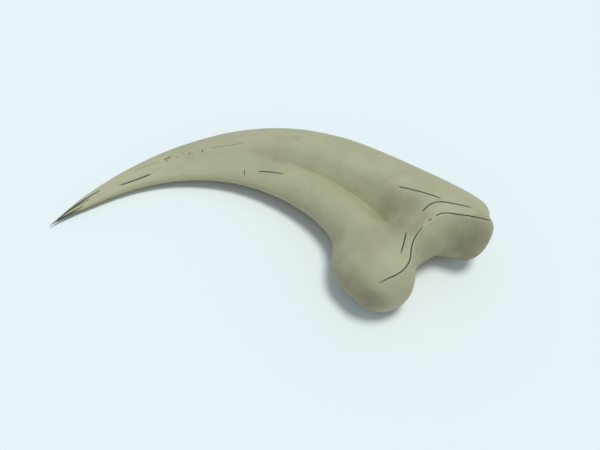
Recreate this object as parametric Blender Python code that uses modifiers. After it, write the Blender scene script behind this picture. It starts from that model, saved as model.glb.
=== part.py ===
# Fossil claw: the curved claw bone of a small predatory dinosaur, lying on its side.
# Metres, +Z up. The origin is at the middle of the footprint, on the surface it rests on.
# The tip points to -X, the joint end is at +X, and the outer (dorsal) curve bulges to +Y.

from math import radians

import bmesh
import bpy
from mathutils import Vector

MM = 0.001

# Driving dimensions, in millimetres.
HALF_WIDTH = 6.25        # half the bone's side-to-side thickness at the joint end
RIM_DROP = 0.6           # the joint's rim lies this far inside the thickest level
LIP_WIDTH = 1.6          # width of the raised lip along the rim
LIP_REACH = 0.45         # at the corners, its back edge's share of the way to the next section
WALL_ROW = 0.5           # the joint face's middle row, as a share of the rim's height
WALL_BULGE = 0.75        # how far that row stands out, as a share of the keel
RIM_CREASE = 0.75        # how crisp the rim is, from 0 to 1
LIP_CREASE = 0.35        # how crisp the lip's back edge is
GROOVE_CREASE = 0.6      # how crisp the groove's bottom is
GROOVE_ROW = 6           # the row of vertices along the bottom, counted from the outer edge
GROOVE_RINGS = (2, 9)    # it is crisp from the first of these rings of vertices to before the last
TIP = (-37.0, -3.7)      # the claw's point, in plan
SMOOTH_LEVELS = 2        # subdivision of the coarse cage
REST_ROLL = -0.9         # degrees about X and Y that bring the bone from its middle plane being
REST_PITCH = -5.3        # level to how it lies by itself, its tip end down
REST_WEAR = 0.12         # depth of the worn flats on the places that it rests on
CUTTER_SIZE = 100.0      # side of the block that cuts them

# The joint's rim from the outer (dorsal) corner to the inner (ventral) one: its place in plan, how
# far the joint face's median keel stands out beyond it there, and how far the lip's back edge dips
# below the thickest level.
RIM = [
    {"at": (35.1, -5.1), "keel": 0.5, "dip": 0.1},
    {"at": (32.6, -7.3), "keel": 2.2, "dip": 0.1},
    {"at": (29.4, -5.7), "keel": 1.8, "dip": 0.2},
    {"at": (26.2, -5.2), "keel": 2.8, "dip": 0.7},
    {"at": (23.2, -7.5), "keel": 2.5, "dip": 1.4},
    {"at": (21.2, -10.2), "keel": 1.2, "dip": 1.3},
    {"at": (20.7, -13.3), "keel": 1.3, "dip": 0.4},
    {"at": (19.9, -15.8), "keel": 1.8, "dip": 0.1},
    {"at": (16.2, -17.3), "keel": 1.5, "dip": 0.1},
]

# The nine rows between a section's two edges. across is the row's place, from 0 at the outer edge to
# 1 at the inner edge. A flank row's height is a share of the ridges', knob on the knob's steeper side.
# A valley row lies between the groove, 0, and the ridges, 1.
ROWS = [
    {"across": 0.05, "flank": 0.48},
    {"across": 0.16, "flank": 0.84},
    {"across": 0.30, "flank": 1.00},
    {"across": 0.47, "valley": 1.00},
    {"across": 0.55, "valley": 0.53},
    {"across": 0.63, "valley": 0.00},
    {"across": 0.69, "valley": 0.28},
    {"across": 0.79, "flank": 0.60, "knob": 0.98},
    {"across": 0.92, "flank": 0.47, "knob": 0.82},
]

# Sections from the joint end to the tip. outer and inner are the edges in plan, ridge and groove are
# half thicknesses as shares of HALF_WIDTH, notch says how much of the rim's curve a section still
# follows, and knob how much of the knob's steeper side it has.
SECTIONS = [
    {"outer": (36.0, -3.0), "inner": (10.8, -17.5), "ridge": 1.00, "groove": 1.00, "notch": 1.00, "knob": 1.00},
    {"outer": (36.4, 0.4), "inner": (8.0, -14.1), "ridge": 1.00, "groove": 0.74, "notch": 0.80, "knob": 1.00},
    {"outer": (33.7, 2.8), "inner": (7.7, -10.6), "ridge": 1.00, "groove": 0.33, "notch": 0.50, "knob": 0.85},
    {"outer": (29.0, 6.0), "inner": (9.2, -6.9), "ridge": 0.98, "groove": 0.22, "notch": 0.25, "knob": 0.50},
    {"outer": (23.4, 9.7), "inner": (6.9, -2.55), "ridge": 0.90, "groove": 0.26, "notch": 0.08, "knob": 0.20},
    {"outer": (17.2, 14.5), "inner": (2.8, 1.3), "ridge": 0.78, "groove": 0.28, "notch": 0.00, "knob": 0.00},
    {"outer": (10.1, 18.4), "inner": (-2.0, 4.2), "ridge": 0.65, "groove": 0.27, "notch": 0.00, "knob": 0.00},
    {"outer": (1.3, 20.7), "inner": (-7.0, 6.3), "ridge": 0.54, "groove": 0.28, "notch": 0.00, "knob": 0.00},
    {"outer": (-8.4, 19.8), "inner": (-13.2, 7.3), "ridge": 0.44, "groove": 0.31, "notch": 0.00, "knob": 0.00},
    {"outer": (-18.0, 15.9), "inner": (-19.7, 6.9), "ridge": 0.34, "groove": 0.30, "notch": 0.00, "knob": 0.00},
    {"outer": (-26.2, 10.3), "inner": (-25.9, 4.65), "ridge": 0.24, "groove": 0.23, "notch": 0.00, "knob": 0.00},
    {"outer": (-33.0, 3.2), "inner": (-32.2, 0.4), "ridge": 0.11, "groove": 0.11, "notch": 0.00, "knob": 0.00},
]


def fresh_scene():
    for old in list(bpy.data.objects):
        bpy.data.objects.remove(old, do_unlink=True)


def chord_point(section, share):
    return Vector(section["outer"]).lerp(Vector(section["inner"]), share)


def row_height(section, row):
    ridge = HALF_WIDTH * section["ridge"]
    groove = HALF_WIDTH * section["groove"]
    if "flank" in row:
        knob = row.get("knob", row["flank"])
        return ridge * (row["flank"] + (knob - row["flank"]) * section["knob"])
    return groove + (ridge - groove) * row["valley"]


def section_rows(section):
    """The eleven points over the top half of one section, from the outer edge to the inner one."""
    points = [Vector((*section["outer"], 0.0))]
    for row, rim in zip(ROWS, RIM):
        bow = Vector(rim["at"]) - chord_point(SECTIONS[0], row["across"])
        plan = chord_point(section, row["across"]) + bow * section["notch"]
        points.append(Vector((plan.x, plan.y, row_height(section, row))))
    points.append(Vector((*section["inner"], 0.0)))
    return points


def level_rows(points, drops):
    """Sets the rows between the two flanks inside the thickest level, each by its own drop."""
    for point, drop in zip(points[2:-2], drops[1:-1]):
        point.z = HALF_WIDTH - drop
    return points


def outward(points, index):
    """Unit vector in plan, away from the bone, at one point of the rim."""
    along = (points[index + 1] - points[index - 1]).to_2d().normalized()
    return Vector((-along.y, along.x, 0.0))


def lip_rows(rim, following):
    """The lip's back edge: the rim, moved back into the bone by the lip's width."""
    points = [rim[0].lerp(following[0], LIP_REACH)]
    for index in range(1, len(rim) - 1):
        points.append(rim[index] - outward(rim, index) * LIP_WIDTH)
    points.append(rim[-1].lerp(following[-1], LIP_REACH))
    return level_rows(points, [place["dip"] for place in RIM])


def wall_rows(rim, bulge, level):
    """A row of the joint face: the rim, moved out by a share of the keel and down to a level."""
    points = []
    for index in range(1, len(rim) - 1):
        point = rim[index] + outward(rim, index) * RIM[index - 1]["keel"] * bulge
        point.z = rim[index].z * level
        points.append(point)
    return points


def add_strip(mesh, first, second):
    """Quads between two rows of vertices of the same length."""
    for a, b, c, d in zip(first, first[1:], second[1:], second):
        mesh.faces.new((a, b, c, d))


def crease_row(mesh, row, amount):
    crease = mesh.edges.layers.float["crease_edge"]
    for a, b in zip(row, row[1:]):
        mesh.edges.get((a, b))[crease] = amount


def half_cage():
    """The coarse cage of the bone's upper half, open on its middle plane."""
    mesh = bmesh.new()
    mesh.edges.layers.float.new("crease_edge")
    mesh.verts.layers.float.new("crease_vert")
    sections = [section_rows(section) for section in SECTIONS]
    rim = level_rows(sections[0], [RIM_DROP] * len(RIM))
    rows = [rim, lip_rows(rim, sections[1])] + sections[1:]
    rings = [[mesh.verts.new(point * MM) for point in row] for row in rows]
    for first, second in zip(rings, rings[1:]):
        add_strip(mesh, first, second)

    tip = mesh.verts.new(Vector((*TIP, 0.0)) * MM)
    tip[mesh.verts.layers.float["crease_vert"]] = 1.0
    for a, b in zip(rings[-1], rings[-1][1:]):
        mesh.faces.new((a, b, tip))

    middle = [mesh.verts.new(point * MM) for point in wall_rows(rim, WALL_BULGE, WALL_ROW)]
    keel = [mesh.verts.new(point * MM) for point in wall_rows(rim, 1.0, 0.0)]
    add_strip(mesh, middle, rings[0][1:-1])
    add_strip(mesh, keel, middle)
    mesh.faces.new((rings[0][0], rings[0][1], middle[0], keel[0]))
    mesh.faces.new((rings[0][-2], rings[0][-1], keel[-1], middle[-1]))
    crease_row(mesh, rings[0][1:-1], RIM_CREASE)
    crease_row(mesh, rings[1][2:-2], LIP_CREASE)
    crease_row(mesh, [ring[GROOVE_ROW] for ring in rings[slice(*GROOVE_RINGS)]], GROOVE_CREASE)
    bmesh.ops.recalc_face_normals(mesh, faces=mesh.faces)
    return mesh


def bone_material():
    material = bpy.data.materials.new("fossil_bone")
    material.use_nodes = True
    shader = material.node_tree.nodes["Principled BSDF"]
    shader.inputs["Base Color"].default_value = (0.40, 0.41, 0.27, 1.0)
    shader.inputs["Roughness"].default_value = 0.6
    shader.inputs["Metallic"].default_value = 0.0
    return material


def claw(collection):
    cage = bpy.data.meshes.new("claw")
    half = half_cage()
    half.to_mesh(cage)
    half.free()
    cage.shade_smooth()
    cage.materials.append(bone_material())
    bone = bpy.data.objects.new("claw", cage)
    collection.objects.link(bone)
    mirror = bone.modifiers.new("other half", "MIRROR")
    mirror.use_axis = (False, False, True)
    mirror.merge_threshold = 0.00001
    smooth = bone.modifiers.new("smooth", "SUBSURF")
    smooth.levels = SMOOTH_LEVELS
    smooth.render_levels = SMOOTH_LEVELS
    return bone


def lay_down(bone):
    """Tips the bone to its resting pose, over the origin, with its lowest skin below the surface."""
    bone.rotation_euler = (radians(REST_ROLL), radians(REST_PITCH), 0.0)
    bpy.context.view_layer.update()
    evaluated = bone.evaluated_get(bpy.context.evaluated_depsgraph_get())
    points = [bone.matrix_world @ vertex.co for vertex in evaluated.data.vertices]
    low = Vector([min(point[axis] for point in points) for axis in range(3)])
    high = Vector([max(point[axis] for point in points) for axis in range(3)])
    middle = (low + high) / 2
    bone.location = (-middle.x, -middle.y, -low.z - REST_WEAR * MM)


def wear_flats(bone, collection):
    """Cuts the skin off at the surface, which leaves small flats where the bone rests."""
    block = bmesh.new()
    bmesh.ops.create_cube(block, size=CUTTER_SIZE * MM)
    bmesh.ops.translate(block, verts=block.verts, vec=(0.0, 0.0, -CUTTER_SIZE / 2 * MM))
    mesh = bpy.data.meshes.new("surface_cutter")
    block.to_mesh(mesh)
    block.free()
    surface = bpy.data.objects.new("surface_cutter", mesh)
    surface.hide_render = True
    surface.display_type = "WIRE"
    collection.objects.link(surface)
    cut = bone.modifiers.new("worn flats", "BOOLEAN")
    cut.operation = "DIFFERENCE"
    cut.object = surface


def main():
    fresh_scene()
    bones = bpy.data.collections.new("fossil claw")
    cutters = bpy.data.collections.new("cutters")
    for collection in (bones, cutters):
        bpy.context.scene.collection.children.link(collection)
    bone = claw(bones)
    lay_down(bone)
    wear_flats(bone, cutters)


main()
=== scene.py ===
from math import pi, radians

import bmesh
import bpy
import numpy as np
from mathutils import Euler, Matrix, Vector, noise
from mathutils.bvhtree import BVHTree


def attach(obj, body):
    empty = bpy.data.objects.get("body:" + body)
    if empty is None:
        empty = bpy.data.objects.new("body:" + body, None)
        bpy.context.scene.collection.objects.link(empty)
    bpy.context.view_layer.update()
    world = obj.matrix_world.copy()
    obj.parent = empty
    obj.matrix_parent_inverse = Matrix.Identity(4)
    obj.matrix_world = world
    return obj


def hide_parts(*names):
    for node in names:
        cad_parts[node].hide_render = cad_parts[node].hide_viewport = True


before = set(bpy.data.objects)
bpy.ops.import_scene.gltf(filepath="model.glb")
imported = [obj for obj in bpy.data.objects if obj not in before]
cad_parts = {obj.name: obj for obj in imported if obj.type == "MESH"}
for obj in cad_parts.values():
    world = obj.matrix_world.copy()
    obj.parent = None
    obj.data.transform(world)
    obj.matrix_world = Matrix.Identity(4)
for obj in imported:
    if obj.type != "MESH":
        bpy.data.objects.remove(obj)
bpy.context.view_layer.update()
mm = 0.001

# How the bone lies: the tilt of its own axes, in degrees, and where their middle is, in millimetres.
# Own axes: X from the tip to the joint end, Y to the outer curve, Z across the bone's thickness.
boneRest = {
    "roll": -0.9,
    "pitch": -5.3,
    "middle": (0.670, -0.917, 3.916),
}
boneAxes = Matrix.LocRotScale(
    Vector(boneRest["middle"]) * mm,
    Euler((radians(boneRest["roll"]), radians(boneRest["pitch"]), 0.0)),
    None,
)
print("frame loaded:", sorted(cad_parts))


# The bone's surface.

boneSurface = {
    "weld": 0.001,          # mm between points that are joined
    "smoothLevels": 2,      # more subdivision of the solid's own faces
    "sharpAngle": 40.0,     # degrees; a sharper edge of the solid stays crisp
    "sharpCrease": 0.6,
    "tipReach": 0.4,        # mm from the far end that count as the point
}


def finerMesh(node, name):
    solid = bmesh.new()
    solid.from_mesh(node.data)
    bmesh.ops.remove_doubles(solid, verts=solid.verts, dist=boneSurface["weld"] * mm)
    bmesh.ops.join_triangles(solid, faces=solid.faces, angle_face_threshold=pi, angle_shape_threshold=pi)
    edgeCrease = solid.edges.layers.float.new("crease_edge")
    pointCrease = solid.verts.layers.float.new("crease_vert")
    for edge in solid.edges:
        if edge.calc_face_angle(0.0) > radians(boneSurface["sharpAngle"]):
            edge[edgeCrease] = boneSurface["sharpCrease"]
    tipEnd = min(point.co.x for point in solid.verts)
    for point in solid.verts:
        if point.co.x < tipEnd + boneSurface["tipReach"] * mm:
            point[pointCrease] = 1.0
    rough = bpy.data.meshes.new(name)
    solid.to_mesh(rough)
    solid.free()

    piece = bpy.data.objects.new(name, rough)
    bpy.context.scene.collection.objects.link(piece)
    smooth = piece.modifiers.new("smooth", "SUBSURF")
    smooth.levels = boneSurface["smoothLevels"]
    smooth.render_levels = boneSurface["smoothLevels"]
    graph = bpy.context.evaluated_depsgraph_get()
    piece.data = bpy.data.meshes.new_from_object(piece.evaluated_get(graph))
    piece.modifiers.clear()
    piece.data.name = name
    piece.data.shade_smooth()
    return piece


def readVectors(items, name):
    flat = np.empty(len(items) * 3)
    items.foreach_get(name, flat)
    return flat.reshape(-1, 3)


def ownPoints(mesh):
    turn = np.array(boneAxes.to_3x3())
    middle = np.array(boneAxes.translation)
    return (readVectors(mesh.vertices, "co") - middle) @ turn / mm


def ownNormals(mesh):
    return readVectors(mesh.vertex_normals, "vector") @ np.array(boneAxes.to_3x3())


def keepValues(mesh, name, values):
    layer = mesh.attributes.new(name, "FLOAT", "POINT")
    layer.data.foreach_set("value", values.astype(np.float32))


def keepVectors(mesh, name, values):
    layer = mesh.attributes.new(name, "FLOAT_VECTOR", "POINT")
    layer.data.foreach_set("vector", values.astype(np.float32).ravel())


def noiseAt(points, size):
    return np.array([noise.noise(Vector(point)) for point in points / size])


claw = finerMesh(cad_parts["claw"], "claw_bone")
print("surface:", len(claw.data.vertices), "points")


# Coordinates that follow the bone, for its grain: millimetres along its middle line, and places
# across it and through it as shares of its width and thickness, so that the grain runs to the tip.

boneGrain = {
    "middleLine": [
        (26.0, -12.5), (20.8, -4.0), (15.2, 3.7), (10.0, 7.9), (4.0, 11.4), (-2.9, 13.7),
        (-10.8, 13.7), (-18.9, 11.5), (-26.0, 7.5), (-32.6, 1.8), (-37.0, -3.7),
    ],
    "roundings": 3,
    "stations": 60,
    "across": 14.0,         # mm that stand for the whole width
    "through": 5.0,         # mm that stand for half the thickness
    "least": 0.05,          # mm, the least width and thickness that is counted, at the point
}


def roundedLine(points, times):
    line = np.array(points)
    for _ in range(times):
        near = line[:-1] * 0.75 + line[1:] * 0.25      # each corner is cut at a quarter
        far = line[:-1] * 0.25 + line[1:] * 0.75
        inner = np.stack([near, far], 1).reshape(-1, line.shape[1])
        line = np.vstack([line[:1], inner, line[-1:]])
    return line


def placeAlong(points, line):
    best = np.full(len(points), np.inf)
    along = np.zeros(len(points))
    aside = np.zeros(len(points))
    start = 0.0
    for a, b in zip(line, line[1:]):
        step = b - a
        length = np.linalg.norm(step)
        share = np.clip((points - a) @ step / length**2, 0.0, 1.0)
        offset = points - a - share[:, None] * step
        far = np.linalg.norm(offset, axis=1)
        near = far < best
        best[near] = far[near]
        along[near] = start + share[near] * length
        aside[near] = (step[0] * offset[near, 1] - step[1] * offset[near, 0]) / length
        start += length
    return along, aside


def grainPlaces(points):
    line = roundedLine(boneGrain["middleLine"], boneGrain["roundings"])
    along, aside = placeAlong(points[:, :2], line)
    count = boneGrain["stations"]
    bins = np.clip((along / along.max() * count).astype(int), 0, count - 1)
    centres = (np.arange(count) + 0.5) * along.max() / count
    used = [i for i in range(count) if (bins == i).any()]
    low = np.interp(along, centres[used], [aside[bins == i].min() for i in used])
    high = np.interp(along, centres[used], [aside[bins == i].max() for i in used])
    thick = np.interp(along, centres[used], [np.abs(points[bins == i, 2]).max() for i in used])
    across = (aside - low) / np.maximum(high - low, boneGrain["least"])
    through = points[:, 2] / np.maximum(thick, boneGrain["least"])
    return np.stack([along, across * boneGrain["across"], through * boneGrain["through"]], 1)


ownPlaces = ownPoints(claw.data)
grain = grainPlaces(ownPlaces)
keepVectors(claw.data, "grain", grain)
print("grain: %.1f mm along the middle line" % grain[:, 0].max())


# Hairline cracks and crease lines. A path is drawn in plan, in the bone's own millimetres, and then
# dropped on the side that it is on. half is half the line's width, and thin is the share of its
# length over which its start and its end thin out.

boneLines = [
    # The upper side: two cracks behind the joint, and the creases along the joint's rim.
    {"side": 1, "half": 0.10, "thin": (0.1, 0.1), "path": [(20.0, 0.3), (22.1, -0.8), (26.3, -2.9)]},
    {"side": 1, "half": 0.09, "thin": (0.2, 0.2), "path": [(20.3, -8.6), (19.7, -10.8), (18.9, -13.2)]},
    {"side": 1, "half": 0.09, "thin": (0.1, 0.1), "path": [
        (23.1, -5.0), (24.4, -3.8), (25.5, -3.4), (27.0, -3.5), (30.7, -4.7)]},
    {"side": 1, "half": 0.09, "thin": (0.2, 0.2), "path": [(23.7, -7.1), (24.4, -6.4)]},
    {"side": 1, "half": 0.10, "thin": (0.05, 0.1), "path": [
        (24.9, -6.1), (26.3, -5.3), (29.5, -5.9), (31.8, -6.5), (33.2, -6.2), (34.1, -5.3)]},
    {"side": 1, "half": 0.10, "thin": (0.05, 0.2), "path": [
        (22.8, -8.0), (21.2, -10.2), (20.5, -12.2), (20.2, -14.3), (18.8, -16.3), (15.6, -17.0)]},
    # Short cracks along the blade.
    {"side": 1, "half": 0.07, "thin": (0.1, 0.1), "path": [(-5.7, 7.9), (-5.7, 6.9)]},
    {"side": 1, "half": 0.10, "thin": (0.05, 0.2), "path": [(-3.2, 7.3), (-0.9, 6.9), (1.4, 6.2)]},
    {"side": 1, "half": 0.11, "thin": (0.3, 0.1), "path": [(-27.2, 4.8), (-24.7, 6.1), (-22.1, 7.4)]},
    {"side": 1, "half": 0.09, "thin": (0.3, 0.1), "path": [(-20.5, 10.1), (-19.1, 11.0)]},
    {"side": 1, "half": 0.07, "thin": (0.1, 0.1), "path": [(-18.2, 11.1), (-18.1, 10.7)]},
    {"side": 1, "half": 0.07, "thin": (0.1, 0.1), "path": [(-15.9, 11.9), (-15.9, 11.4)]},
    {"side": 1, "half": 0.07, "thin": (0.1, 0.1), "path": [(-13.7, 12.6), (-13.6, 11.9)]},
    {"side": 1, "half": 0.06, "thin": (0.3, 0.3), "path": [(-19.8, 10.2), (-19.7, 9.8)]},
    # The faint line between them.
    {"side": 1, "half": 0.022, "thin": (0.2, 0.2), "path": [(-25.4, 7.7), (-23.1, 8.9), (-21.0, 9.9)]},
    {"side": 1, "half": 0.022, "thin": (0.2, 0.2), "path": [(-17.5, 11.4), (-16.6, 11.7)]},
    {"side": 1, "half": 0.022, "thin": (0.2, 0.2), "path": [(-15.2, 12.1), (-14.3, 12.4)]},
    {"side": 1, "half": 0.022, "thin": (0.2, 0.3), "path": [(-12.5, 12.8), (-8.7, 13.3), (-5.9, 13.7)]},
    # Lines that run together at the point.
    {"side": 1, "half": 0.25, "thin": (0.0, 0.8), "path": [(-36.9, -3.7), (-35.2, -1.6)]},
    {"side": 1, "half": 0.13, "thin": (0.0, 0.25), "path": [(-36.6, -3.2), (-33.5, 0.8), (-30.0, 3.9)]},
    {"side": 1, "half": 0.11, "thin": (0.0, 0.3), "path": [(-36.4, -3.0), (-34.2, -0.2), (-31.5, 1.8)]},
    {"side": 1, "half": 0.10, "thin": (0.0, 0.4), "path": [(-36.1, -2.8), (-34.1, -0.9), (-32.2, 0.7)]},
    {"side": 1, "half": 0.10, "thin": (0.0, 0.4), "path": [(-35.9, -2.7), (-34.1, -1.1), (-32.4, 0.1)]},
    # The under side, cracked in other places.
    {"side": -1, "half": 0.10, "thin": (0.1, 0.05), "path": [
        (23.2, -7.6), (24.5, -6.3), (26.2, -5.3), (29.5, -5.9), (31.8, -6.5), (34.4, -5.0)]},
    {"side": -1, "half": 0.10, "thin": (0.05, 0.2), "path": [
        (22.8, -8.0), (21.2, -10.2), (20.5, -12.2), (20.2, -14.3), (18.8, -16.3)]},
    {"side": -1, "half": 0.09, "thin": (0.1, 0.4), "path": [
        (27.5, 1.4), (23.0, 4.0), (18.4, 8.2), (14.9, 10.0)]},
    {"side": -1, "half": 0.08, "thin": (0.2, 0.3), "path": [(14.5, -3.2), (11.8, 0.1), (8.9, 2.4)]},
    {"side": -1, "half": 0.08, "thin": (0.3, 0.3), "path": [(1.5, 14.6), (-3.2, 15.2), (-7.4, 15.1)]},
    {"side": -1, "half": 0.09, "thin": (0.3, 0.2), "path": [(-14.3, 10.4), (-18.2, 9.3), (-22.6, 7.3)]},
    {"side": -1, "half": 0.08, "thin": (0.0, 0.5), "path": [(-36.6, -3.2), (-33.4, 0.9), (-30.6, 3.2)]},
    {"side": -1, "half": 0.08, "thin": (0.0, 0.5), "path": [(-36.2, -2.9), (-34.0, -0.8), (-32.0, 0.9)]},
]
lineShape = {
    "reach": 0.6,           # mm on each side within which a line is looked for
    "none": -0.15,          # the half width where there is no line
    "roundings": 3,
    "dropFrom": 20.0,       # mm from the middle plane, outside the bone
    "shortest": 0.001,      # the least share of a line's length that an end thins over
    "groove": 0.06,         # mm that the surface dips along a line
    "grooveWidth": 0.22,
    "fullGroove": 0.05,     # mm; a line with less half width than this dips less
}


def dropOnSide(surface, plan, side):
    found = []
    down = boneAxes.to_3x3() @ Vector((0.0, 0.0, -side))
    for x, y in plan:
        above = boneAxes @ (Vector((x, y, lineShape["dropFrom"] * side)) * mm)
        place = surface.ray_cast(above, down)[0]
        if place is None:      # just past the bone's edge in plan
            place = surface.find_nearest(boneAxes @ (Vector((x, y, 0.0)) * mm))[0]
        found.append(boneAxes.inverted() @ place / mm)
    return np.array(found)


def markLines(mesh, points, normals):
    corners = [point.co for point in mesh.vertices]
    surface = BVHTree.FromPolygons(corners, [face.vertices for face in mesh.polygons])
    best = np.full(len(points), lineShape["reach"])
    side = np.full(len(points), lineShape["reach"])
    half = np.full(len(points), lineShape["none"])
    for mark in boneLines:
        line = dropOnSide(surface, roundedLine(mark["path"], lineShape["roundings"]), mark["side"])
        steps = np.linalg.norm(np.diff(line, axis=0), axis=1)
        starts = np.concatenate([[0.0], np.cumsum(steps)])
        for a, b, start, length in zip(line, line[1:], starts, steps):
            heading = (b - a) / length
            reach = (points - a) @ heading
            offset = points - a - np.clip(reach, 0.0, length)[:, None] * heading
            far = np.linalg.norm(offset, axis=1)
            near = far < best
            place = (start + reach[near]) / starts[-1]
            turned = np.cross(np.broadcast_to(heading, offset[near].shape), offset[near])
            best[near] = far[near]
            side[near] = np.copysign(far[near], (turned * normals[near]).sum(1))
            first, last = np.maximum(mark["thin"], lineShape["shortest"])
            ends = np.minimum(place / first, (1.0 - place) / last)
            width = mark["half"] * np.clip(ends, 0.0, 1.0) ** 0.5
            half[near] = np.where(ends > 0.0, width, lineShape["none"])
    return side, half


side, half = markLines(claw.data, ownPlaces, ownNormals(claw.data))
keepValues(claw.data, "line side", side)
keepValues(claw.data, "line half width", half)
print("lines:", len(boneLines))


# Fine relief, all in millimetres.

boneRelief = {
    "swellSize": 6.0,
    "swellHeight": 0.05,
    "strandLength": 9.0,
    "strandWidth": 1.1,
    "strandHeight": 0.03,
    "roughSize": 1.3,
    "roughHeight": 0.02,
}


def reliefHeights(points, strands, side, half):
    stretched = strands * (boneRelief["strandWidth"] / boneRelief["strandLength"], 1.0, 1.0)
    heights = noiseAt(points, boneRelief["swellSize"]) * boneRelief["swellHeight"]
    heights += noiseAt(stretched, boneRelief["strandWidth"]) * boneRelief["strandHeight"]
    heights += noiseAt(points, boneRelief["roughSize"]) * boneRelief["roughHeight"]
    depth = np.clip(half / lineShape["fullGroove"], 0.0, 1.0) * lineShape["groove"]
    return heights - np.exp(-(side / lineShape["grooveWidth"]) ** 2) * depth


def moveAlongNormals(mesh, heights):
    moved = readVectors(mesh.vertices, "co")
    moved = moved + readVectors(mesh.vertex_normals, "vector") * heights[:, None] * mm
    moved[:, 2] = np.maximum(moved[:, 2], 0.0)     # nothing sinks below the surface that it lies on
    mesh.vertices.foreach_set("co", moved.astype(np.float32).ravel())
    mesh.update()


heights = reliefHeights(ownPlaces, grain, side, half)
moveAlongNormals(claw.data, heights)
print("relief: %.3f to %.3f mm" % (heights.min(), heights.max()))


# Where the surface is worn comes from its curvature over a small reach, and the painted shade in its
# hollows from its curvature over a wide reach. The soft darker and paler patches are painted shade and
# painted light, set to bring the bone's tones near the photo's, and are alike on both sides. Their middles
# and reaches are in the bone's own millimetres.

boneWearAndPaintedLight = {
    "smallSteps": 4,
    "wideSteps": 150,
    "eveningSteps": 3,
    "cloudSize": 3.0,       # mm, of the patches' uneven edges
    "cloudReach": 0.25,     # share of a patch's reach
    "fullWithin": 0.2,      # share of a patch's reach where it is at full strength
    # Painted shade: darker patches where the bone lies in shade.
    "paintedShade": [
        {"middle": (18.9, -2.3, 3.6), "reach": 4.5, "share": 0.50},     # the hollow behind the joint
        {"middle": (21.8, -3.9, 5.2), "reach": 4.0, "share": 0.50},
        {"middle": (20.2, -7.2, 5.0), "reach": 4.0, "share": 0.50},
        {"middle": (-1.0, 10.2, 2.8), "reach": 6.0, "share": 0.20},     # the groove's outer end
        {"middle": (-10.5, 11.3, 2.6), "reach": 5.5, "share": 0.05},
        {"middle": (2.6, 2.2, 0.6), "reach": 4.5, "share": 0.15},       # the flank by the inner curve
        {"middle": (6.4, -2.0, 0.6), "reach": 4.5, "share": 0.15},
        {"middle": (9.0, -7.0, 0.8), "reach": 4.5, "share": 0.18},
        {"middle": (14.8, -10.6, 5.3), "reach": 4.5, "share": 0.28},    # the knob
        {"middle": (10.6, -14.6, 0.0), "reach": 5.5, "share": 0.85},
        {"middle": (13.2, -17.4, 0.0), "reach": 5.5, "share": 0.85},
        {"middle": (15.6, -18.2, 0.0), "reach": 3.0, "share": 0.60},
        {"middle": (32.3, -7.8, 2.6), "reach": 4.4, "share": 0.78},     # the joint face
        {"middle": (30.5, -8.1, 0.6), "reach": 4.5, "share": 0.60},
        {"middle": (27.8, -7.2, 1.8), "reach": 3.5, "share": 0.40},
        {"middle": (25.0, -8.6, 1.6), "reach": 4.0, "share": 0.40},
    ],
    # Painted light: paler patches where the bone is more brightly lit.
    "paintedLight": [
        {"middle": (-32.0, 1.5, 0.8), "reach": 6.0, "share": 0.70},     # the blade's outer half
        {"middle": (-27.5, 5.5, 1.1), "reach": 7.0, "share": 0.70},
        {"middle": (-22.0, 8.0, 1.5), "reach": 6.0, "share": 0.50},
        {"middle": (9.5, 7.2, 3.2), "reach": 4.0, "share": 0.55},       # the slope beside the groove
        {"middle": (12.7, 5.4, 3.8), "reach": 4.0, "share": 0.60},
        {"middle": (19.6, 0.3, 5.2), "reach": 3.2, "share": 0.60},
        {"middle": (23.8, -3.1, 5.9), "reach": 3.5, "share": 0.30},     # the joint's rim
        {"middle": (27.0, -3.9, 5.8), "reach": 4.0, "share": 0.30},
    ],
}


def easedStep(values, low, high):
    share = np.clip((values - low) / (high - low), 0.0, 1.0)
    return share * share * (3.0 - 2.0 * share)


def spread(values, edges, count, steps):
    ends = np.concatenate([edges[:, 0], edges[:, 1]])
    others = np.concatenate([edges[:, 1], edges[:, 0]])
    links = np.bincount(ends, minlength=count)
    for _ in range(steps):
        total = np.stack([np.bincount(ends, values[others, k], count) for k in range(values.shape[1])], 1)
        values = 0.5 * values + 0.5 * total / links[:, None]
    return values


def curvature(mesh, steps):
    count = len(mesh.vertices)
    edges = np.empty(len(mesh.edges) * 2, int)
    mesh.edges.foreach_get("vertices", edges)
    edges = edges.reshape(-1, 2)
    points = readVectors(mesh.vertices, "co") / mm
    drift = spread(points, edges, count, steps) - points
    raised = -(drift * readVectors(mesh.vertex_normals, "vector")).sum(1)
    return spread(raised[:, None], edges, count, boneWearAndPaintedLight["eveningSteps"])[:, 0]


def softPatches(points, patches):
    clouds = noiseAt(points, boneWearAndPaintedLight["cloudSize"]) * boneWearAndPaintedLight["cloudReach"]
    upper = np.column_stack([points[:, :2], np.abs(points[:, 2])])
    cover = np.zeros(len(points))
    for patch in patches:
        far = np.linalg.norm(upper - patch["middle"], axis=1) / patch["reach"]
        strength = easedStep(far + clouds, 1.0, boneWearAndPaintedLight["fullWithin"])
        cover = np.maximum(cover, strength * patch["share"])
    return cover


worn = curvature(claw.data, boneWearAndPaintedLight["smallSteps"])
sunk = curvature(claw.data, boneWearAndPaintedLight["wideSteps"])
keepValues(claw.data, "worn", worn)
keepValues(claw.data, "sunk", sunk)
# Painted shade and painted light patches.
keepValues(claw.data, "paintedShade", softPatches(ownPlaces, boneWearAndPaintedLight["paintedShade"]))
keepValues(claw.data, "paintedLight", softPatches(ownPlaces, boneWearAndPaintedLight["paintedLight"]))
print("curves:", np.percentile(worn, (1, 50, 99)).round(3), np.percentile(sunk, (1, 50, 99)).round(3))


# Shader groups. A node's place is its column and its row in the node editor.

nodeSpacing = (200.0, -180.0)


def addNode(tree, kind, place, **settings):
    node = tree.nodes.new(kind)
    node.location = (place[0] * nodeSpacing[0], place[1] * nodeSpacing[1])
    for name, value in settings.items():
        setattr(node, name, value)
    return node


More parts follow.
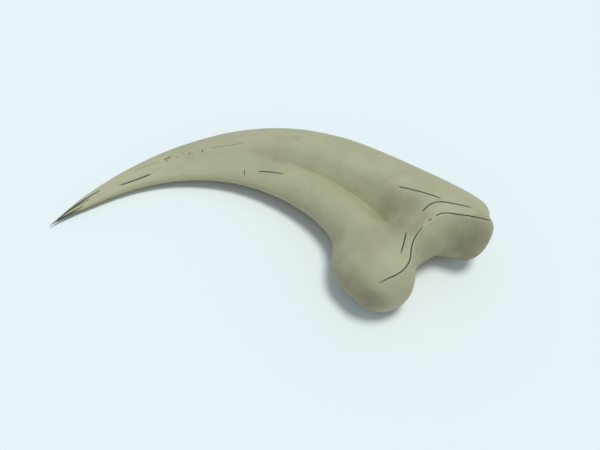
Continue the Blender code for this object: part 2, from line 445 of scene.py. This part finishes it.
def newGroup(name, inputs, outputs):
    tree = bpy.data.node_groups.new(name, "ShaderNodeTree")
    for label, kind, value in inputs:
        socket = tree.interface.new_socket(name=label, in_out="INPUT", socket_type=kind)
        if value is not None:
            socket.default_value = value
    for label, kind in outputs:
        tree.interface.new_socket(name=label, in_out="OUTPUT", socket_type=kind)
    start = addNode(tree, "NodeGroupInput", (0, 0))
    end = addNode(tree, "NodeGroupOutput", (6, 0))
    return tree, start, end


def mottlingGroup():
    tree, start, end = newGroup(
        "mottling",
        [("Places", "NodeSocketVector", None), ("Size", "NodeSocketFloat", 4.0),
         ("Roughness", "NodeSocketFloat", 0.5), ("From", "NodeSocketFloat", 0.4),
         ("To", "NodeSocketFloat", 0.6)],
        [("Mask", "NodeSocketFloat")],
    )
    inverse = addNode(tree, "ShaderNodeMath", (1, 1), operation="DIVIDE")
    inverse.inputs[0].default_value = 1.0
    cloud = addNode(tree, "ShaderNodeTexNoise", (2, 0))
    cloud.inputs["Detail"].default_value = 4.0
    ramp = addNode(tree, "ShaderNodeMapRange", (4, 0), interpolation_type="SMOOTHSTEP")
    tree.links.new(start.outputs["Size"], inverse.inputs[1])
    tree.links.new(start.outputs["Places"], cloud.inputs["Vector"])
    tree.links.new(inverse.outputs[0], cloud.inputs["Scale"])
    tree.links.new(start.outputs["Roughness"], cloud.inputs["Roughness"])
    tree.links.new(cloud.outputs["Fac"], ramp.inputs["Value"])
    tree.links.new(start.outputs["From"], ramp.inputs["From Min"])
    tree.links.new(start.outputs["To"], ramp.inputs["From Max"])
    tree.links.new(ramp.outputs["Result"], end.inputs["Mask"])
    return tree


def strandGroup():
    tree, start, end = newGroup(
        "strands",
        [("Grain", "NodeSocketVector", None), ("Length", "NodeSocketFloat", 10.0),
         ("Width", "NodeSocketFloat", 0.6), ("From", "NodeSocketFloat", 0.3), ("To", "NodeSocketFloat", 0.7)],
        [("Mask", "NodeSocketFloat")],
    )
    sizes = addNode(tree, "ShaderNodeCombineXYZ", (1, 1))
    shrunk = addNode(tree, "ShaderNodeVectorMath", (2, 0), operation="DIVIDE")
    cloud = addNode(tree, "ShaderNodeTexNoise", (3, 0))
    cloud.inputs["Scale"].default_value = 1.0
    cloud.inputs["Detail"].default_value = 3.0
    ramp = addNode(tree, "ShaderNodeMapRange", (4, 0), interpolation_type="SMOOTHSTEP")
    tree.links.new(start.outputs["Length"], sizes.inputs["X"])
    tree.links.new(start.outputs["Width"], sizes.inputs["Y"])
    tree.links.new(start.outputs["Width"], sizes.inputs["Z"])
    tree.links.new(start.outputs["Grain"], shrunk.inputs[0])
    tree.links.new(sizes.outputs["Vector"], shrunk.inputs[1])
    tree.links.new(shrunk.outputs["Vector"], cloud.inputs["Vector"])
    tree.links.new(cloud.outputs["Fac"], ramp.inputs["Value"])
    tree.links.new(start.outputs["From"], ramp.inputs["From Min"])
    tree.links.new(start.outputs["To"], ramp.inputs["From Max"])
    tree.links.new(ramp.outputs["Result"], end.inputs["Mask"])
    return tree


def poreGroup():
    tree, start, end = newGroup(
        "pores",
        [("Places", "NodeSocketVector", None), ("Spacing", "NodeSocketFloat", 1.0),
         ("Size", "NodeSocketFloat", 0.15), ("Share", "NodeSocketFloat", 0.4)],
        [("Mask", "NodeSocketFloat")],
    )
    inverse = addNode(tree, "ShaderNodeMath", (1, 1), operation="DIVIDE")
    inverse.inputs[0].default_value = 1.0
    cells = addNode(tree, "ShaderNodeTexVoronoi", (2, 0))
    dot = addNode(tree, "ShaderNodeMapRange", (4, 0), interpolation_type="SMOOTHSTEP")
    dot.inputs["To Min"].default_value = 1.0
    dot.inputs["To Max"].default_value = 0.0
    chosen = addNode(tree, "ShaderNodeMath", (4, 2), operation="LESS_THAN")
    both = addNode(tree, "ShaderNodeMath", (5, 1), operation="MULTIPLY")
    single = addNode(tree, "ShaderNodeSeparateColor", (3, 2))
    tree.links.new(start.outputs["Spacing"], inverse.inputs[1])
    tree.links.new(start.outputs["Places"], cells.inputs["Vector"])
    tree.links.new(inverse.outputs[0], cells.inputs["Scale"])
    tree.links.new(cells.outputs["Distance"], dot.inputs["Value"])
    tree.links.new(start.outputs["Size"], dot.inputs["From Max"])
    tree.links.new(cells.outputs["Color"], single.inputs["Color"])
    tree.links.new(single.outputs["Red"], chosen.inputs[0])
    tree.links.new(start.outputs["Share"], chosen.inputs[1])
    tree.links.new(dot.outputs["Result"], both.inputs[0])
    tree.links.new(chosen.outputs[0], both.inputs[1])
    tree.links.new(both.outputs[0], end.inputs["Mask"])
    return tree


mottling = mottlingGroup()
strands = strandGroup()
pores = poreGroup()


# The bone's finish.

boneFinish = {
    "colour": (0.446, 0.404, 0.240),
    "pale": (0.522, 0.463, 0.287),
    "brown": (0.357, 0.300, 0.166),
    # The first of the next two colours is painted shade; the second is painted shade in the hollows and the
    # dark in the pores.
    "paintedShadeColour": (0.240, 0.198, 0.114),
    "dirtAndShade": (0.196, 0.174, 0.104),
    "line": (0.040, 0.045, 0.050),
    "paleShare": 0.40,
    "brownShare": 0.32,
    "grainShare": 0.10,
    "wearShare": 0.35,
    # The next three shares are for the painted light, the painted shade and the painted shade in hollows.
    "paintedLightShare": 1.0,
    "paintedShadeShare": 1.0,
    "hollowShadeShare": 0.20,
    "poreShare": 0.50,
    "lineShare": 0.94,
    "shine": 0.3,               # specular level
    "roughness": (0.56, 0.74),  # elsewhere, and in the hollows and the brown clouds
    "grainDepth": 0.018,        # mm of relief
    "pittedDepth": 0.025,
    "poreDepth": 0.060,
    "lineDepth": 0.080,
    # Sizes, lengths, widths and the pores' spacing are in millimetres, but a pore's size is a share of
    # the spacing. From and To are the part of a noise's range over which its mask rises.
    "paleClouds": {"Size": 9.0, "Roughness": 0.55, "From": 0.42, "To": 0.68},
    "brownClouds": {"Size": 3.0, "Roughness": 0.6, "From": 0.50, "To": 0.74},
    "pittedSkin": {"Size": 0.5, "Roughness": 0.6, "From": 0.3, "To": 0.7},
    "broadStrands": {"Length": 14.0, "Width": 1.2, "From": 0.45, "To": 0.7},
    "fineStrands": {"Length": 6.0, "Width": 0.3, "From": 0.40, "To": 0.75},
    "finePores": {"Spacing": 0.9, "Size": 0.15, "Share": 0.30},
    "wornFrom": (0.005, 0.020),     # mm that the surface stands above its near surroundings
    "hollowShadeFrom": (-0.05, -0.40),     # painted shade in hollows: the same against its wide surroundings; less than 0 is below them
    "lineEdge": (-0.03, 0.04),      # mm inside a line's edge; less than 0 is outside it
}


def addGroup(tree, group, place, label, source, values):
    node = addNode(tree, "ShaderNodeGroup", place, node_tree=group, label=label)
    for name, value in values.items():
        node.inputs[name].default_value = value
    tree.links.new(source, node.inputs[0])
    return node.outputs["Mask"]


def addAttribute(tree, place, name):
    return addNode(tree, "ShaderNodeAttribute", place, attribute_name=name, label=name)


def addRamp(tree, place, label, source, fromRange, toRange=(0.0, 1.0)):
    ramp = addNode(tree, "ShaderNodeMapRange", place, interpolation_type="SMOOTHSTEP", label=label)
    ramp.inputs["From Min"].default_value = fromRange[0]
    ramp.inputs["From Max"].default_value = fromRange[1]
    ramp.inputs["To Min"].default_value = toRange[0]
    ramp.inputs["To Max"].default_value = toRange[1]
    tree.links.new(source, ramp.inputs["Value"])
    return ramp.outputs["Result"]


def addMath(tree, place, operation, first, second):
    node = addNode(tree, "ShaderNodeMath", place, operation=operation)
    for socket, value in zip(node.inputs, (first, second)):
        if isinstance(value, float):
            socket.default_value = value
        else:
            tree.links.new(value, socket)
    return node.outputs[0]


def addColour(tree, place, label, before, colour, mask, share):
    mix = addNode(tree, "ShaderNodeMix", place, data_type="RGBA", label=label)
    mix.inputs["B"].default_value = (*boneFinish[colour], 1.0)
    tree.links.new(addMath(tree, (place[0], place[1] + 2), "MULTIPLY", mask, share), mix.inputs["Factor"])
    if isinstance(before, tuple):
        mix.inputs["A"].default_value = (*before, 1.0)
    else:
        tree.links.new(before, mix.inputs["A"])
    return mix.outputs["Result"]


def addBump(tree, place, label, height, depth, before=None):
    bump = addNode(tree, "ShaderNodeBump", place, label=label)
    bump.inputs["Distance"].default_value = depth * mm
    tree.links.new(height, bump.inputs["Height"])
    if before is not None:
        tree.links.new(before, bump.inputs["Normal"])
    return bump.outputs["Normal"]


def boneMaterial():
    material = bpy.data.materials.new("fossil_bone")
    material.use_nodes = True
    tree = material.node_tree
    links = tree.links
    shader = tree.nodes["Principled BSDF"]
    shader.location = (3200, 0)
    tree.nodes["Material Output"].location = (3500, 0)
    shader.inputs["Specular IOR Level"].default_value = boneFinish["shine"]

    objectPlace = addNode(tree, "ShaderNodeTexCoord", (0, 0))
    inMillimetres = addNode(tree, "ShaderNodeVectorMath", (1, 0), operation="SCALE")
    inMillimetres.inputs["Scale"].default_value = 1.0 / mm
    links.new(objectPlace.outputs["Object"], inMillimetres.inputs[0])
    places = inMillimetres.outputs[0]
    grain = addAttribute(tree, (0, 2), "grain").outputs["Vector"]
    worn = addAttribute(tree, (0, 4), "worn").outputs["Fac"]
    sunk = addAttribute(tree, (0, 6), "sunk").outputs["Fac"]
    paintedShade = addAttribute(tree, (0, 8), "paintedShade").outputs["Fac"]
    paintedLight = addAttribute(tree, (0, 14), "paintedLight").outputs["Fac"]
    lineSide = addAttribute(tree, (0, 10), "line side").outputs["Fac"]
    lineHalf = addAttribute(tree, (0, 12), "line half width").outputs["Fac"]

    paleClouds = addGroup(tree, mottling, (3, 0), "pale clouds", places, boneFinish["paleClouds"])
    brownClouds = addGroup(tree, mottling, (3, 2), "brown clouds", places, boneFinish["brownClouds"])
    pitted = addGroup(tree, mottling, (3, 4), "pitted skin", places, boneFinish["pittedSkin"])
    broadStrands = addGroup(tree, strands, (3, 6), "broad strands", grain, boneFinish["broadStrands"])
    fineStrands = addGroup(tree, strands, (3, 8), "fine strands", grain, boneFinish["fineStrands"])
    finePores = addGroup(tree, pores, (3, 10), "fine pores", places, boneFinish["finePores"])
    edgeWear = addRamp(tree, (3, 12), "worn edges", worn, boneFinish["wornFrom"])
    # Painted shade in the hollows, darker where the surface lies below its wide surroundings.
    hollowShade = addRamp(tree, (3, 14), "painted shade in hollows", sunk, boneFinish["hollowShadeFrom"])
    lineDistance = addMath(tree, (1, 10), "ABSOLUTE", lineSide, 0.0)
    lineInside = addMath(tree, (2, 10), "SUBTRACT", lineHalf, lineDistance)
    lineMask = addRamp(tree, (3, 16), "lines", lineInside, boneFinish["lineEdge"])

    colour = boneFinish["colour"]
    colour = addColour(tree, (5, 0), "pale clouds", colour, "pale", paleClouds, boneFinish["paleShare"])
    colour = addColour(tree, (6, 0), "brown clouds", colour, "brown", brownClouds, boneFinish["brownShare"])
    colour = addColour(tree, (7, 0), "broad strands", colour, "brown", broadStrands, boneFinish["grainShare"])
    colour = addColour(tree, (8, 0), "fine strands", colour, "brown", fineStrands, boneFinish["grainShare"])
    # Painted light and painted shade patches, then painted shade in the hollows.
    colour = addColour(tree, (9, 0), "paintedLight", colour, "pale", paintedLight, boneFinish["paintedLightShare"])
    colour = addColour(tree, (9, 4), "paintedShade", colour, "paintedShadeColour", paintedShade, boneFinish["paintedShadeShare"])
    colour = addColour(tree, (10, 0), "dirtAndShade", colour, "dirtAndShade", hollowShade, boneFinish["hollowShadeShare"])
    colour = addColour(tree, (11, 0), "worn edges", colour, "pale", edgeWear, boneFinish["wearShare"])
    colour = addColour(tree, (12, 0), "pores", colour, "dirtAndShade", finePores, boneFinish["poreShare"])
    colour = addColour(tree, (13, 0), "lines", colour, "line", lineMask, boneFinish["lineShare"])
    links.new(colour, shader.inputs["Base Color"])

    dull = addMath(tree, (5, 6), "MAXIMUM", hollowShade, brownClouds)
    roughness = addRamp(tree, (6, 6), "roughness", dull, (0.0, 1.0), boneFinish["roughness"])
    links.new(roughness, shader.inputs["Roughness"])

    porePlugs = addMath(tree, (5, 12), "SUBTRACT", 1.0, finePores)
    lineBanks = addMath(tree, (5, 14), "SUBTRACT", 1.0, lineMask)
    normal = addBump(tree, (9, 8), "grain relief", fineStrands, boneFinish["grainDepth"])
    normal = addBump(tree, (10, 8), "pitted relief", pitted, boneFinish["pittedDepth"], normal)
    normal = addBump(tree, (11, 8), "pore relief", porePlugs, boneFinish["poreDepth"], normal)
    normal = addBump(tree, (12, 8), "line relief", lineBanks, boneFinish["lineDepth"], normal)
    links.new(normal, shader.inputs["Normal"])
    return material


claw.data.materials.clear()
claw.data.materials.append(boneMaterial())
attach(claw, "root")
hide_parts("claw")
print("finish: fossil_bone")


# Floor, light and camera.

floorLook = {
    "size": 6.0,                        # m
    "colour": (0.865, 0.858, 0.826),
    "roughness": 0.85,
    "shine": 0.1,                       # specular level
}


def paleFloor():
    bpy.ops.mesh.primitive_plane_add(size=floorLook["size"])
    floor = bpy.context.object
    floor.name = "studio_floor"
    material = bpy.data.materials.new("pale_floor")
    material.use_nodes = True
    shader = material.node_tree.nodes["Principled BSDF"]
    shader.inputs["Base Color"].default_value = (*floorLook["colour"], 1.0)
    shader.inputs["Roughness"].default_value = floorLook["roughness"]
    shader.inputs["Specular IOR Level"].default_value = floorLook["shine"]
    floor.data.materials.append(material)


studioLight = {
    "sky": 0.45,                        # strength of the even light from all round
    "skyColour": (0.80, 1.0, 1.20),
    "backdrop": 0.90,                   # how bright the space behind the floor looks
    "backdropColour": (0.94, 0.98, 1.0),
    "keyPower": 1.88,                   # W per square metre
    "keyColour": (0.94, 1.01, 1.0),
    "keySize": 19.0,                    # degrees that the softbox spans, seen from the bone
    "keyPlace": (0.10, -0.005, 0.79),   # m; it shines from there towards the middle
}


def softLight():
    world = bpy.data.worlds.new("studio")
    bpy.context.scene.world = world
    world.use_nodes = True
    tree = world.node_tree
    sky = tree.nodes["Background"]
    sky.inputs["Strength"].default_value = studioLight["sky"]
    sky.inputs["Color"].default_value = (*studioLight["skyColour"], 1.0)
    backdrop = addNode(tree, "ShaderNodeBackground", (0, 3))
    backdrop.inputs["Strength"].default_value = studioLight["backdrop"]
    backdrop.inputs["Color"].default_value = (*studioLight["backdropColour"], 1.0)
    seen = addNode(tree, "ShaderNodeLightPath", (0, 5))
    mix = addNode(tree, "ShaderNodeMixShader", (2, 1))
    tree.links.new(seen.outputs["Is Camera Ray"], mix.inputs["Fac"])
    tree.links.new(sky.outputs["Background"], mix.inputs[1])
    tree.links.new(backdrop.outputs["Background"], mix.inputs[2])
    tree.links.new(mix.outputs["Shader"], tree.nodes["World Output"].inputs["Surface"])

    lamp = bpy.data.lights.new("key softbox", "SUN")     # far off, so the floor is evenly lit
    lamp.angle = radians(studioLight["keySize"])
    lamp.energy = studioLight["keyPower"]
    lamp.color = studioLight["keyColour"]
    key = bpy.data.objects.new("key softbox", lamp)
    key.location = studioLight["keyPlace"]
    key.rotation_euler = (-Vector(studioLight["keyPlace"])).to_track_quat("-Z", "Y").to_euler()
    bpy.context.scene.collection.objects.link(key)


cameraView = {
    "place": (6.72, -53.64, 61.38),     # mm, in the bone's own axes
    "lookDown": 50.62,                  # degrees below the bone's middle plane
    "lens": 29.05,                      # mm
    "sensor": 36.0,
    "shift": -0.025,
    "seenFrom": 0.005,                  # m
    "seenTo": 20.0,
}


def photoCamera():
    lens = bpy.data.cameras.new("photo camera")
    lens.lens = cameraView["lens"]
    lens.sensor_width = cameraView["sensor"]
    lens.shift_x = cameraView["shift"]
    lens.clip_start = cameraView["seenFrom"]
    lens.clip_end = cameraView["seenTo"]
    camera = bpy.data.objects.new("photo camera", lens)
    bpy.context.scene.collection.objects.link(camera)
    turn = Euler((radians(90.0 - cameraView["lookDown"]), 0.0, 0.0))
    camera.matrix_world = boneAxes @ Matrix.LocRotScale(Vector(cameraView["place"]) * mm, turn, None)
    bpy.context.scene.camera = camera


paleFloor()
softLight()
photoCamera()
bpy.context.scene.view_settings.view_transform = "Standard"
print("studio: floor, light and camera")
